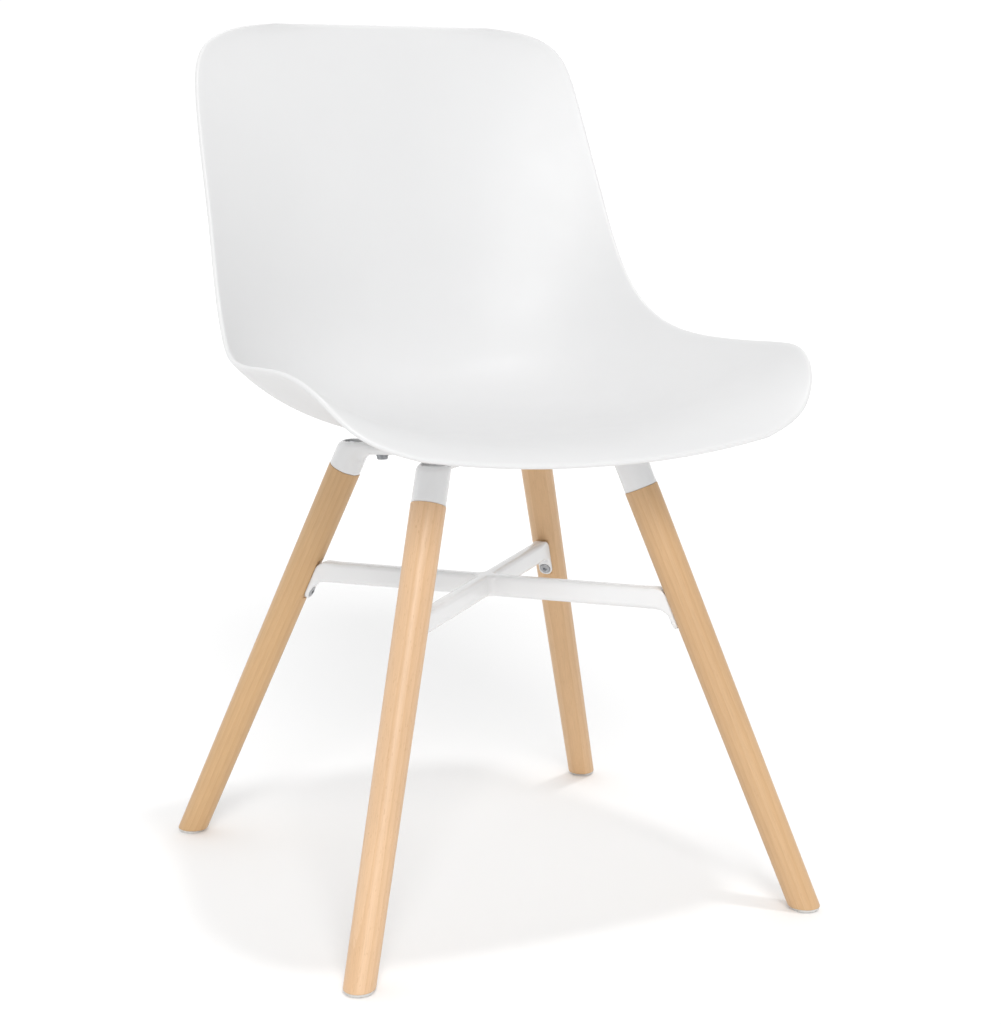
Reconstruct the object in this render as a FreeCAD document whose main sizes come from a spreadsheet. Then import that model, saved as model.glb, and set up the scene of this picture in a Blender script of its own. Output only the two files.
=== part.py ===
import FreeCAD, Part
import math
import os

import Sketcher

# Dining chair: a moulded plastic bucket seat on a welded steel cross frame, four turned beech
# legs in steel sockets, and a welded steel cross stretcher screwed to the legs.
# Millimetres. +Z is up, the sitter faces -Y, and the floor is Z = 0.

SIZES = {
    # Where the middle of the four legs stands, behind the middle of the whole chair.
    "legMiddle": -10.3,
    # Each leg leans towards the middle of the chair in a diagonal upright plane.
    "frontLean": 23.0,
    "backLean": 24.4,
    "frontSpread": 322.5,
    "backSpread": 328.3,
    "frontLegLength": 429.6,
    "backLegLength": 435.2,
    "legFootRadius": 14.2,
    "legTopRadius": 16.2,
    "tenonRadius": 13.4,
    "tenonLength": 17,
    "tenonChamfer": 1,
    "glideThickness": 3,
    "glideRadius": 12.5,
    "glideEdge": 1,
    "nailRadius": 1.4,
    "nailLength": 16,
    "nailPoint": 3,
    "nailHeadSink": 1,
    "nailHeadGap": 0.3,
    # Leg sockets: short steel tubes with a bolt plate inside.
    "socketRadius": 15.8,
    "socketBore": 13.6,
    "socketMouth": 11.5,
    "socketRound": 4,
    "plateThickness": 3,
    "plateHole": 4.3,
    "frontSocketTop": 431,
    "backSocketTop": 425.5,
    # Cross frame under the seat, of flat oval tube. It rises a little towards the front.
    "frameTilt": 3.4,
    "frameMiddle": 422,
    "frameHeight": 10,
    "frameWidth": 20,
    "frameRound": 4.5,
    "frameWall": 1.5,
    "frameBlank": 150,
    # Stretcher cross between the legs, of narrower tube.
    "barMiddle": 290.5,
    "barHeight": 21,
    "barWidth": 14,
    "barRound": 5,
    "barWall": 1.5,
    "barBlank": 220,
    "tabThickness": 5,
    "tabSeat": 1.6,
    "tabRound": 6,
    "tabSeatGap": 1,
    "tabLow": 263,
    "tabScrew": 8,
    "tabHole": 3.1,
    "tabSink": 5.6,
    "tabSinkDepth": 2.5,
    # Fasteners. A key is the distance from a head's middle to a corner of its hexagon socket.
    "headChamfer": 0.8,
    "frontBoltReach": 114,
    "backBoltReach": 108.5,
    "seatBoltRadius": 3,
    "seatBoltHead": 5.4,
    "seatBoltHeadHeight": 3.3,
    "seatBoltKey": 2.8,
    "seatBoltLength": 18,
    "seatBoltHole": 3.3,
    "seatWasherRadius": 6,
    "seatWasherThickness": 1.5,
    "bossRadius": 8.5,
    "bossPost": 45,
    "insertRadius": 4.2,
    "insertLength": 9,
    "legBoltRadius": 4,
    "legBoltHead": 6.5,
    "legBoltHeadHeight": 6,
    "legBoltKey": 3.4,
    "legBoltLength": 40,
    "legBoltGap": 0.5,
    "legBoltSpareDepth": 2,
    "legWasherRadius": 8,
    "legWasherThickness": 1.6,
    "legInsertRadius": 6,
    "legInsertLength": 25,
    "screwRadius": 3,
    "screwHead": 5.2,
    "screwHeadHeight": 3,
    "screwKey": 2.4,
    "screwLength": 15,
    "screwInsertRadius": 4.5,
    "screwInsertLength": 13,
    "screwBoreSpareDepth": 3,
    # Seat shell.
    "shellThickness": 5,
}

# Sections of the shell's outer face, from the top edge of the back to the front edge of the
# seat: the rim's x, y and z, the centre line's y and z, and how flat the middle is. The outer
# face is a smooth surface that these sections steer, and the lower half of it dishes into a
# bucket between two low side wings. Y is counted from the middle of the four legs.
SHELL_SECTIONS = (
    (118, 255, 830, 266, 831, 2.2),
    (154, 253, 828, 265, 825, 2.2),
    (188, 249, 818, 263, 811, 2.2),
    (207, 242, 797, 260, 790, 2.2),
    (213, 228, 762, 254, 752, 2.2),
    (217, 203, 708, 243, 694, 2.2),
    (220, 174, 650, 230, 632, 2.3),
    (224, 151, 602, 217, 572, 2.5),
    (229, 125, 562, 198, 516, 2.7),
    (237, 86, 533, 163, 468, 2.9),
    (248, 38, 520, 107, 446, 3.1),
    (261, -22, 519, 45, 440, 3.3),
    (267, -70, 521, -10, 439, 3.3),
    (267, -115, 524, -70, 443, 3.3),
    (259, -152, 524, -125, 447, 3.1),
    (247, -186, 511, -172, 450, 2.9),
    (231, -208, 484, -208, 450, 2.7),
    (206, -223, 465, -231, 447, 2.4),
    (168, -232, 455, -243, 442, 2.2),
)
# The section whose thickness direction the sections above it share.
UPRIGHT_SECTION = 4
POLES_ACROSS = 11
DEGREE = 3
# Half the width of the blocks and sketches that only cut, which is wider than what they cut.
WIDE = 60

doc = FreeCAD.newDocument("dining_chair")
sheet = doc.addObject("Spreadsheet::Sheet", "Sizes")
for row, (alias, number) in enumerate(SIZES.items(), start=1):
    sheet.set(f"A{row}", alias)
    sheet.set(f"B{row}", str(number))
    sheet.setAlias(f"B{row}", alias)
doc.recompute()


def value(formula):
    """The number that a formula of the sheet's sizes comes to."""
    return float(sheet.evalExpression(formula))


def size(alias):
    return value(f"Sizes.{alias}")


X = FreeCAD.Vector(1, 0, 0)
Y = FreeCAD.Vector(0, 1, 0)
Z = FreeCAD.Vector(0, 0, 1)
MIDDLE = FreeCAD.Vector(0, size("legMiddle"), 0)


class Corner:
    """One leg's place: its name, its diagonal direction, lean, spread, length and seat bolt."""

    def __init__(self, name, side, end):
        self.name = name
        self.end = end
        self.azimuth = math.degrees(math.atan2(1 if end == "back" else -1, side))
        self.lean = size(end + "Lean")
        self.spread = size(end + "Spread")
        self.length = size(end + "LegLength")
        self.bolt_reach = size(end + "BoltReach")
        self.outward = FreeCAD.Rotation(Z, self.azimuth).multVec(X)

    def upright(self, radius=0.0, height=0.0):
        """An upright placement on the leg's diagonal, its X pointing outwards."""
        place = MIDDLE + self.outward * radius + Z * height
        return FreeCAD.Placement(place, FreeCAD.Rotation(Z, self.azimuth))

    def leaning(self, along=0.0):
        """A placement on the leg's axis: Z up the leg, X outwards, along mm from the floor."""
        turn = FreeCAD.Rotation(Z, self.azimuth).multiply(FreeCAD.Rotation(Y, -self.lean))
        place = MIDDLE + self.outward * self.spread + turn.multVec(Z) * along
        return FreeCAD.Placement(place, turn)

    def along_at(self, height, inward=0.0):
        """How far up the leg a point lies that is inward mm inside the axis at a height."""
        lean = math.radians(self.lean)
        return (height + inward * math.sin(lean)) / math.cos(lean)

    def leg_radius(self, along):
        taper = (size("legTopRadius") - size("legFootRadius")) / self.length
        return size("legFootRadius") + taper * along


def on_frame(corner, radius=0.0, lift=0.0):
    """A placement on the cross frame: on a corner's diagonal, lift mm above the tubes' middle."""
    tilt = FreeCAD.Rotation(X, -size("frameTilt"))
    place = MIDDLE + Z * size("frameMiddle") + tilt.multVec(corner.outward * radius + Z * lift)
    return FreeCAD.Placement(place, tilt.multiply(FreeCAD.Rotation(Z, corner.azimuth)))


CORNERS = [
    Corner("front_right", -1, "front"),
    Corner("front_left", 1, "front"),
    Corner("back_right", -1, "back"),
    Corner("back_left", 1, "back"),
]
CORNER = {corner.name: corner for corner in CORNERS}
pieces = {}


def keep(name, thing):
    """Name a finished piece: its label is its file's name."""
    thing.Label = name
    pieces[name] = thing
    return thing


def new_body(name):
    return doc.addObject("PartDesign::Body", name + "_body")


def sketch_on(body, role, lift=None):
    """An empty sketch on one of a body's own origin planes, lifted off it by a formula."""
    sketch = body.newObject("Sketcher::SketchObject", body.Name + "_sketch")
    plane = next(item for item in body.Origin.OriginFeatures if item.Role == role)
    sketch.AttachmentSupport = [(plane, "")]
    sketch.MapMode = "FlatFace"
    if lift:
        sketch.setExpression("AttachmentOffset.Base.z", lift)
    return sketch


def lock(sketch, line, corner, x, y):
    """Hold one point of a sketch at two formulas."""
    for kind, formula, axis in (("DistanceX", x, -2), ("DistanceY", y, -1)):
        if formula == "0":
            sketch.addConstraint(Sketcher.Constraint("PointOnObject", line, corner, axis))
        else:
            rule = Sketcher.Constraint(kind, line, corner, value(formula))
            index = sketch.addConstraint(rule)
            sketch.setExpression(f"Constraints[{index}]", formula)


def outline(sketch, points):
    """A closed straight-sided outline, each corner held at two formulas."""
    spots = [FreeCAD.Vector(value(x), value(y), 0) for x, y in points]
    for start, end in zip(spots, spots[1:] + spots[:1]):
        sketch.addGeometry(Part.LineSegment(start, end), False)
    for i, (x, y) in enumerate(points):
        before = (i - 1) % len(points)
        sketch.addConstraint(Sketcher.Constraint("Coincident", before, 2, i, 1))
        lock(sketch, i, 1, x, y)


def circle(sketch, radius, x="0", y="0"):
    """A circle of a formula's radius about a point."""
    centre = FreeCAD.Vector(value(x), value(y), 0)
    index = sketch.addGeometry(Part.Circle(centre, Z, value(radius)), False)
    lock(sketch, index, 3, x, y)
    rule = sketch.addConstraint(Sketcher.Constraint("Radius", index, value(radius)))
    sketch.setExpression(f"Constraints[{rule}]", radius)


def rounded_rectangle(sketch, width, height, radius, y="0"):
    """A rectangle with round corners about a point on the sketch's upright axis."""
    half_w = f"({width}) / 2"
    half_h = f"({height}) / 2"
    flat_w = f"({half_w} - ({radius}))"
    flat_h = f"({half_h} - ({radius}))"
    # Each side's start and end, going round anticlockwise from the bottom one.
    sides = (
        (f"-{flat_w}", f"{y} - {half_h}", flat_w, f"{y} - {half_h}"),
        (half_w, f"{y} - {flat_h}", half_w, f"{y} + {flat_h}"),
        (flat_w, f"{y} + {half_h}", f"-{flat_w}", f"{y} + {half_h}"),
        (f"-{half_w}", f"{y} + {flat_h}", f"-{half_w}", f"{y} - {flat_h}"),
    )
    for x0, y0, x1, y1 in sides:
        start = FreeCAD.Vector(value(x0), value(y0), 0)
        end = FreeCAD.Vector(value(x1), value(y1), 0)
        line = sketch.addGeometry(Part.LineSegment(start, end), False)
        lock(sketch, line, 1, x0, y0)
        lock(sketch, line, 2, x1, y1)
    signs = ((1, -1), (1, 1), (-1, 1), (-1, -1))
    for i, (sign_x, sign_y) in enumerate(signs):
        centre_x = f"{sign_x} * {flat_w}"
        centre = FreeCAD.Vector(value(centre_x), value(y) + sign_y * value(flat_h), 0)
        first = math.radians(90 * i - 90)
        ring = Part.Circle(centre, Z, value(radius))
        arc = sketch.addGeometry(Part.ArcOfCircle(ring, first, first + math.pi / 2), False)
        sketch.addConstraint(Sketcher.Constraint("Coincident", i, 2, arc, 1))
        sketch.addConstraint(Sketcher.Constraint("Coincident", arc, 2, (i + 1) % 4, 1))
        rule = Sketcher.Constraint("DistanceX", arc, 3, value(centre_x))
        index = sketch.addConstraint(rule)
        sketch.setExpression(f"Constraints[{index}]", centre_x)


def extrude(body, kind, sketch, length, symmetric=False, backwards=False):
    """A Pad or a Pocket of a sketch."""
    feature = body.newObject("PartDesign::" + kind, body.Name + "_" + kind.lower())
    feature.Profile = sketch
    feature.SideType = "Symmetric" if symmetric else "One side"
    feature.Reversed = backwards
    feature.setExpression("Length", length)
    sketch.Visibility = False
    return feature


def turn(body, kind, sketch, axis="V_Axis"):
    """A Revolution or a Groove of a sketch about one of the sketch's own axes."""
    feature = body.newObject("PartDesign::" + kind, body.Name + "_" + kind.lower())
    feature.Profile = sketch
    feature.ReferenceAxis = (sketch, [axis])
    feature.Angle = 360
    return feature


def group(name, copies):
    """One node of several separate, identical solids."""
    compound = doc.addObject("Part::Compound", name + "_group")
    compound.Links = copies
    return keep(name, compound)


def placed_copy(source, label, placement):
    """A copy of a finished piece at another place."""
    copy = doc.addObject("Part::Feature", label)
    copy.Shape = source.Shape.copy()
    copy.Placement = placement
    return copy


def cut_by(name, base, tools):
    """Base less its tools, as a chain of Part::Cut."""
    for i, tool in enumerate(tools):
        cut = doc.addObject("Part::Cut", f"{name}_cut{i}")
        cut.Base = base
        cut.Tool = tool
        base = cut
    return base


def cylinder(name, radius, length, placement):
    """A cylinder of two formulas, standing on a placement."""
    rod = doc.addObject("Part::Cylinder", name)
    rod.setExpression("Radius", radius)
    rod.setExpression("Height", length)
    rod.Placement = placement
    return rod


def pole_stations(count):
    """Where along the surface each of a row's poles pulls hardest, from 0 to 1."""
    spans = count - DEGREE
    knots = [0.0] * DEGREE + [i / spans for i in range(spans + 1)] + [1.0] * DEGREE
    return [sum(knots[i + 1 : i + 1 + DEGREE]) / DEGREE for i in range(count)]


def shell_poles():
    """The outer face's poles: each section swept from rim to centre line and back."""
    across = [2 * station - 1 for station in pole_stations(POLES_ACROSS)]
    rows = []
    for rim_x, rim_y, rim_z, mid_y, mid_z, flatness in SHELL_SECTIONS:
        rows.append([])
        for side in across:
            rise = abs(side) ** flatness
            middle = FreeCAD.Vector(0, mid_y, mid_z)
            lift = FreeCAD.Vector(0, rim_y - mid_y, rim_z - mid_z)
            rows[-1].append(MIDDLE + middle + X * rim_x * side + lift * rise)
    return rows


def smooth_surface(rows):
    """A cubic surface steered by rows of poles, through the four edges' own poles."""
    counts = (len(rows), len(rows[0]))
    knots = [[i / (count - DEGREE) for i in range(count - DEGREE + 1)] for count in counts]
    repeats = [[DEGREE + 1] + [1] * (count - DEGREE - 1) + [DEGREE + 1] for count in counts]
    surface = Part.BSplineSurface()
    surface.buildFromPolesMultsKnots(
        rows, repeats[0], repeats[1], knots[0], knots[1], False, False, DEGREE, DEGREE
    )
    return surface


def inner_poles(rows, surface):
    """The outer poles moved inwards by the shell's thickness."""
    down = pole_stations(len(rows))
    across = pole_stations(POLES_ACROSS)
    towards_sitter = FreeCAD.Vector(0, -1, 1)
    moved = []
    for i, row in enumerate(rows):
        moved.append([])
        for j, pole in enumerate(row):
            if i < UPRIGHT_SECTION:
                # The top of the back, with its round corners, keeps one thickness direction.
                reach = pole.x / rows[UPRIGHT_SECTION][-1].x
                normal = surface.normal(down[UPRIGHT_SECTION], 0.5 + 0.5 * reach)
            else:
                normal = surface.normal(down[i], across[j])
            if normal.dot(towards_sitter) < 0:
                normal = -normal
            moved[-1].append(pole + normal * size("shellThickness"))
    return moved


def boss_under(shell, place):
    """A round boss from its foot up to the shell's outer face, which cuts its top to shape."""
    upwards = place.Rotation.multVec(Z)
    post = Part.makeCylinder(size("bossRadius"), size("bossPost"), place.Base, upwards)
    return min(post.cut(shell).Solids, key=lambda piece: piece.CenterOfMass.z)


def seat_shell():
    """The moulded shell: two smooth faces, joined all round the rim, with four screw bosses."""
    outer_rows = shell_poles()
    outer = smooth_surface(outer_rows)
    inner = smooth_surface(inner_poles(outer_rows, outer))
    outer_face = outer.toShape()
    inner_face = inner.toShape()
    edges = []
    for surface in (outer, inner):
        edges.append(
            [
                surface.uIso(0.0).toShape(),
                surface.uIso(1.0).toShape(),
                surface.vIso(0.0).toShape(),
                surface.vIso(1.0).toShape(),
            ]
        )
    walls = [Part.makeRuledSurface(low, high) for low, high in zip(*edges)]
    skin = Part.makeShell([outer_face, inner_face] + walls)
    skin.sewShape()
    solid = Part.Solid(skin)
    if solid.Volume < 0:
        solid.reverse()
    shell = doc.addObject("Part::Feature", "shell_skin")
    shell.Shape = solid
    bosses = [shell]
    holes = []
    for corner in CORNERS:
        place = on_frame(corner, corner.bolt_reach, size("frameHeight") / 2)
        boss = doc.addObject("Part::Feature", "shell_boss")
        boss.Shape = boss_under(solid, place)
        bosses.append(boss)
        holes.append(cylinder("shell_hole", "Sizes.insertRadius", "Sizes.insertLength", place))
    whole = doc.addObject("Part::MultiFuse", "shell_with_bosses")
    whole.Shapes = bosses
    return keep("seat_shell", cut_by("shell", whole, holes))


def ring(name, outer, bore, height):
    """A plain ring standing on its origin: a washer, a plate or a threaded sleeve."""
    body = new_body(name)
    sketch = sketch_on(body, "XY_Plane")
    circle(sketch, outer)
    circle(sketch, bore)
    extrude(body, "Pad", sketch, height)
    return body


def socket_bolt(name, head_radius, head_height, shank_radius, shank_length, key):
    """A bolt whose head stands on its origin's plane and whose shank points down."""
    body = new_body(name)
    sketch = sketch_on(body, "XZ_Plane")
    outline(
        sketch,
        [
            ("0", f"-({shank_length})"),
            (shank_radius, f"-({shank_length})"),
            (shank_radius, "0"),
            (head_radius, "0"),
            (head_radius, f"{head_height} - Sizes.headChamfer"),
            (f"{head_radius} - Sizes.headChamfer", head_height),
            ("0", head_height),
        ],
    )
    turn(body, "Revolution", sketch)
    drive = sketch_on(body, "XY_Plane", head_height)
    hexagon = [(f"{key} * cos({60 * i} deg)", f"{key} * sin({60 * i} deg)") for i in range(6)]
    hexagon = [(x, "0" if i % 3 == 0 else y) for i, (x, y) in enumerate(hexagon)]
    outline(drive, hexagon)
    extrude(body, "Pocket", drive, f"({head_height}) * 0.6")
    return body


def leg(corner):
    """A turned, tapered leg with a tenon, a level foot, a seat for the stretcher and its bores."""
    body = new_body("leg_" + corner.name)
    length = f"Sizes.{corner.end}LegLength"
    lean = f"{corner.lean} deg"
    taper = f"(Sizes.legTopRadius - Sizes.legFootRadius) / ({length})"
    # The blank is turned from below the floor, and the level foot is cut from it.
    spare = "Sizes.legFootRadius"
    sketch = sketch_on(body, "XZ_Plane")
    outline(
        sketch,
        [
            ("0", f"-{spare}"),
            (f"Sizes.legFootRadius - {spare} * {taper}", f"-{spare}"),
            ("Sizes.legTopRadius", length),
            ("Sizes.tenonRadius", length),
            ("Sizes.tenonRadius", f"{length} + Sizes.tenonLength - Sizes.tenonChamfer"),
            ("Sizes.tenonRadius - Sizes.tenonChamfer", f"{length} + Sizes.tenonLength"),
            ("0", f"{length} + Sizes.tenonLength"),
        ],
    )
    turn(body, "Revolution", sketch)
    # The foot is level with the floor, one glide's thickness above it.
    foot = sketch_on(body, "XZ_Plane")
    slope = f"tan({lean})"
    level = f"Sizes.glideThickness / cos({lean})"
    outline(
        foot,
        [
            (f"-{WIDE}", f"{level} + {WIDE} * {slope}"),
            (f"-{WIDE}", f"-{WIDE}"),
            (f"{WIDE}", f"-{WIDE}"),
            (f"{WIDE}", f"{level} - {WIDE} * {slope}"),
        ],
    )
    extrude(body, "Pocket", foot, f"{2 * WIDE}", symmetric=True)
    # Bore for the leg's threaded insert, and past it for the bolt's tip.
    bore = sketch_on(body, "XZ_Plane")
    top = f"({length} + Sizes.tenonLength)"
    hole = "Sizes.legBoltRadius + Sizes.legBoltGap"
    outline(
        bore,
        [
            ("0", top),
            ("Sizes.legInsertRadius", top),
            ("Sizes.legInsertRadius", f"{top} - Sizes.legInsertLength"),
            (hole, f"{top} - Sizes.legInsertLength"),
            (hole, f"{top} - Sizes.legBoltLength - Sizes.legBoltSpareDepth"),
            ("0", f"{top} - Sizes.legBoltLength - Sizes.legBoltSpareDepth"),
        ],
    )
    turn(body, "Groove", bore)
    # A flat seat on the inner side for the stretcher's tab.
    low, high, seat = tab_reach(corner)
    flat = sketch_on(body, "XZ_Plane")
    outline(
        flat,
        [
            (f"-{WIDE}", f"{low} - Sizes.tabSeatGap"),
            (f"-{seat}", f"{low} - Sizes.tabSeatGap"),
            (f"-{seat}", f"{high} + Sizes.tabSeatGap"),
            (f"-{WIDE}", f"{high} + Sizes.tabSeatGap"),
        ],
    )
    extrude(body, "Pocket", flat, f"{2 * WIDE}", symmetric=True)
    # Bore for the stretcher's threaded insert, square to that seat.
    side = sketch_on(body, "YZ_Plane", f"-{seat}")
    circle(side, "Sizes.screwInsertRadius", y=f"{low} + Sizes.tabScrew")
    depth = "Sizes.screwInsertLength + Sizes.screwBoreSpareDepth"
    extrude(body, "Pocket", side, depth, backwards=True)
    # Pilot hole for the glide's nail, upright in the leaning foot.
    body.Placement = corner.leaning()
    nail_place = corner.upright(corner.spread)
    pilot = cylinder("nail_hole", "Sizes.nailRadius", "Sizes.nailLength", nail_place)
    return keep("leg_" + corner.name, cut_by("leg_" + corner.name, body, [pilot]))


def tab_reach(corner):
    """The stretcher tab's lower and upper ends along a leg, and its seat's distance inside."""
    bar_top = size("barMiddle") + size("barHeight") / 2
    rough = corner.along_at(size("barMiddle"))
    seat = corner.leg_radius(rough) - size("tabSeat")
    low = corner.along_at(size("tabLow"), seat)
    high = corner.along_at(bar_top, seat)
    return round(low, 3), round(high, 3), round(seat, 3)


def stretcher_tab(corner):
    """The bent end of a stretcher bar: a plate along the leg with a sunk screw hole."""
    low, high, seat = tab_reach(corner)
    body = new_body("tab_" + corner.name)
    plate = sketch_on(body, "YZ_Plane")
    middle = f"({high} - {low}) / 2"
    rounded_rectangle(plate, "Sizes.barWidth", f"{high} - {low}", "Sizes.tabRound", middle)
    extrude(body, "Pad", plate, "Sizes.tabThickness")
    hole = sketch_on(body, "YZ_Plane", "Sizes.tabThickness")
    circle(hole, "Sizes.tabHole", y="Sizes.tabScrew")
    extrude(body, "Pocket", hole, "Sizes.tabThickness")
    sink = sketch_on(body, "YZ_Plane", "Sizes.tabThickness")
    circle(sink, "Sizes.tabSink", y="Sizes.tabScrew")
    extrude(body, "Pocket", sink, "Sizes.tabSinkDepth")
    # The plate's X points from the leg towards the middle of the chair.
    place = corner.leaning(low)
    place.Rotation = place.Rotation.multiply(FreeCAD.Rotation(Z, 180))
    place.Base = place.Base - corner.leaning().Rotation.multVec(X) * seat
    body.Placement = place
    return keep("stretcher_tab_" + corner.name, body)


def tube(name, width, height, radius, wall, length):
    """A straight hollow tube along X, about its own middle."""
    body = new_body(name)
    section = sketch_on(body, "YZ_Plane")
    rounded_rectangle(section, width, height, radius)
    extrude(body, "Pad", section, f"{length}", symmetric=True)
    hollow = sketch_on(body, "YZ_Plane")
    rounded_rectangle(hollow, f"{width} - 2 * {wall}", f"{height} - 2 * {wall}", f"{radius} - {wall}")
    extrude(body, "Pocket", hollow, f"{length}", symmetric=True)
    return body


def cutting_block(name, corner, along, outside):
    """The block that cuts off what lies further out than a plane beside a leg's axis."""
    block = doc.addObject("Part::Box", name)
    block.Length = 2 * WIDE
    block.Width = 2 * WIDE
    block.Height = 2 * WIDE
    shift = FreeCAD.Vector(outside, -WIDE, -WIDE)
    block.Placement = corner.leaning(along).multiply(FreeCAD.Placement(shift, FreeCAD.Rotation()))
    return block


def beyond_tab(corner):
    """What ends a stretcher bar flush with the back of its tab."""
    low, high, seat = tab_reach(corner)
    return cutting_block("bar_end", corner, (low + high) / 2, -seat - size("tabThickness"))


def stretcher():
    """The cross stretcher: one whole bar, two halves welded to it, and four tabs."""
    reach = size("barBlank")
    section = ("Sizes.barWidth", "Sizes.barHeight", "Sizes.barRound", "Sizes.barWall")
    through = tube("bar_through", *section, 2 * reach)
    through.Placement = CORNER["front_left"].upright(0, size("barMiddle"))
    ends = [beyond_tab(CORNER["front_left"]), beyond_tab(CORNER["back_right"])]
    keep("stretcher_bar_through", cut_by("bar_through", through, ends))
    start = size("barWidth") / 2
    for corner_name, half in (("front_right", "front"), ("back_left", "back")):
        corner = CORNER[corner_name]
        bar = tube("bar_" + half, *section, reach - start)
        bar.Placement = corner.upright((start + reach) / 2, size("barMiddle"))
        keep("stretcher_bar_" + half, cut_by("bar_" + half, bar, [beyond_tab(corner)]))
    for corner in CORNERS:
        stretcher_tab(corner)


def frame():
    """The cross frame under the seat: one whole tube and two halves, coped round the sockets."""
    reach = size("frameBlank")
    section = ("Sizes.frameWidth", "Sizes.frameHeight", "Sizes.frameRound", "Sizes.frameWall")
    start = size("frameWidth") / 2

    def cope(corner):
        """The socket's own outside, which the tube's end fits round."""
        place = corner.leaning(corner.length - WIDE)
        return cylinder("cope", "Sizes.socketRadius", f"{2 * WIDE}", place)

    def trim(corner):
        """What lies outside the leg's axis is past the socket and is cut away."""
        return cutting_block("trim", corner, corner.length, 0)

    def bolt_hole(corner):
        place = on_frame(corner, corner.bolt_reach, -size("frameHeight") / 2)
        return cylinder("frame_hole", "Sizes.seatBoltHole", "Sizes.frameHeight", place)

    def finish(name, body, corners):
        tools = [make(corner) for corner in corners for make in (cope, trim, bolt_hole)]
        keep(name, cut_by(name, body, tools))

    through = tube("frame_through", *section, 2 * reach)
    through.Placement = on_frame(CORNER["front_left"])
    finish("frame_tube_through", through, [CORNER["front_left"], CORNER["back_right"]])
    for corner_name, half in (("front_right", "front"), ("back_left", "back")):
        arm = tube("frame_" + half, *section, reach - start)
        arm.Placement = on_frame(CORNER[corner_name], (start + reach) / 2)
        finish("frame_tube_" + half, arm, [CORNER[corner_name]])


def leg_socket(corner):
    """A leg socket: a short tube with a round shoulder, a bore for the tenon and an open top."""
    body = new_body("socket_" + corner.name)
    sketch = sketch_on(body, "XZ_Plane")
    plate_top = "(Sizes.tenonLength + Sizes.plateThickness)"
    outline(
        sketch,
        [
            ("Sizes.socketBore", "0"),
            ("Sizes.socketRadius", "0"),
            ("Sizes.socketRadius", f"{WIDE}"),
            ("Sizes.socketMouth", f"{WIDE}"),
            ("Sizes.socketMouth", plate_top),
            ("Sizes.socketBore", plate_top),
        ],
    )
    turn(body, "Revolution", sketch)
    # The top is cut level with the floor, just under the seat.
    level = sketch_on(body, "XZ_Plane")
    lean = f"{corner.lean} deg"
    joint = f"Sizes.{corner.end}LegLength * cos({lean})"
    rise = f"(Sizes.{corner.end}SocketTop - {joint}) / cos({lean})"
    outline(
        level,
        [
            (f"-{WIDE}", f"{rise} + {WIDE} * tan({lean})"),
            (f"{WIDE}", f"{rise} - {WIDE} * tan({lean})"),
            (f"{WIDE}", f"{2 * WIDE}"),
            (f"-{WIDE}", f"{2 * WIDE}"),
        ],
    )
    top = extrude(body, "Pocket", level, f"{2 * WIDE}", symmetric=True)
    doc.recompute()
    # The shoulder's outer edge is rounded over: it is the longest edge of the level top.
    slant = FreeCAD.Rotation(Y, corner.lean).multVec(Z)
    edges = top.Shape.Edges
    highest = max(edge.CenterOfMass.dot(slant) for edge in edges)
    on_top = [i for i, edge in enumerate(edges) if highest - edge.CenterOfMass.dot(slant) < 0.5]
    longest = max(on_top, key=lambda i: edges[i].Length)
    shoulder = body.newObject("PartDesign::Fillet", body.Name + "_fillet")
    shoulder.Base = (top, [f"Edge{longest + 1}"])
    shoulder.setExpression("Radius", "Sizes.socketRound")
    body.Placement = corner.leaning(corner.length)
    return keep("leg_socket_" + corner.name, body)


def glide(corner):
    """A plastic glide disc with a rounded lower edge and a hole for its nail."""
    body = new_body("glide_" + corner.name)
    sketch = sketch_on(body, "XZ_Plane")
    outline(
        sketch,
        [
            ("Sizes.nailRadius", "Sizes.nailHeadSink"),
            ("Sizes.nailRadius + Sizes.nailHeadSink", "0"),
            ("Sizes.glideRadius - Sizes.glideEdge", "0"),
            ("Sizes.glideRadius", "Sizes.glideEdge"),
            ("Sizes.glideRadius", "Sizes.glideThickness"),
            ("Sizes.nailRadius", "Sizes.glideThickness"),
        ],
    )
    turn(body, "Revolution", sketch)
    body.Placement = corner.upright(corner.spread)
    return keep("glide_" + corner.name, body)


def nail():
    """A glide's nail, its head sunk in the glide's underside."""
    body = new_body("nail")
    sketch = sketch_on(body, "XZ_Plane")
    head_radius = "Sizes.nailRadius + Sizes.nailHeadSink - Sizes.nailHeadGap"
    outline(
        sketch,
        [
            ("0", "Sizes.nailHeadGap"),
            (head_radius, "Sizes.nailHeadGap"),
            ("Sizes.nailRadius", "Sizes.nailHeadSink"),
            ("Sizes.nailRadius", "Sizes.nailLength - Sizes.nailPoint"),
            ("0", "Sizes.nailLength"),
        ],
    )
    turn(body, "Revolution", sketch)
    return body


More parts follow.
